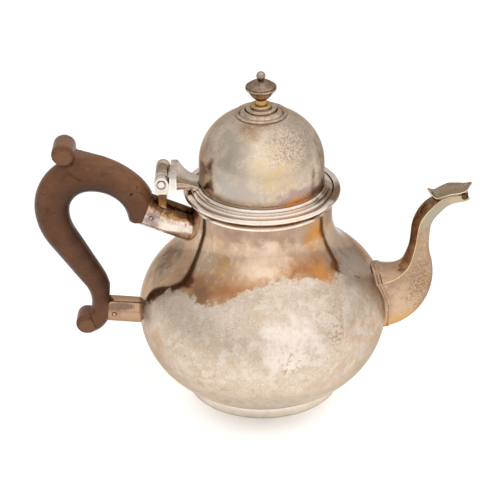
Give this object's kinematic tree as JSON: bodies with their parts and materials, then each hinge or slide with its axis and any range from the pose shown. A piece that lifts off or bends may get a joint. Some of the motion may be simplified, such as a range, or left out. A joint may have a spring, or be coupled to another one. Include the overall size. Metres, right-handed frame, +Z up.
{
  "type": "hinged-lid silver pot",
  "caption": "Pear-shaped silver pouring pot with a hinged domed lid, faceted swan-neck spout with a beaked mouth and a carved wooden scroll handle.",
  "frame": {"origin": "centre of the foot ring's resting face", "axes": "+Z up, +X towards the spout, handle along -X, hinge pin along Y"},
  "size_m": [0.2033, 0.118, 0.1615],
  "materials": {
    "silver": "polished, tarnished",
    "hardwood": "satin, worn"
  },
  "bodies": {
    "pot": {"body_shell": "silver", "foot_ring": "silver", "base_disc": "silver", "rim_moulding": "silver", "spout_left_half": "silver", "spout_right_half": "silver", "spout_collar": "silver", "upper_socket": "silver", "lower_socket": "silver", "upper_handle_pin": "silver", "lower_handle_pin": "silver", "hinge_bracket": "silver", "hinge_pin": "silver", "handle": "hardwood"},
    "lid": {"hinge_leaf": "silver", "lid_flange": "silver", "lid_bezel": "silver", "lid_dome": "silver", "finial_plate": "silver", "finial": "silver", "finial_washer": "silver", "finial_nut": "silver"}
  },
  "joints": [
    {"name": "lid_hinge", "type": "hinge", "parent": "pot", "child": "lid", "pos_m": [-0.0459, 0, 0.1103], "axis": [0, -1, 0], "range_deg": [0, 112]}
  ]
}
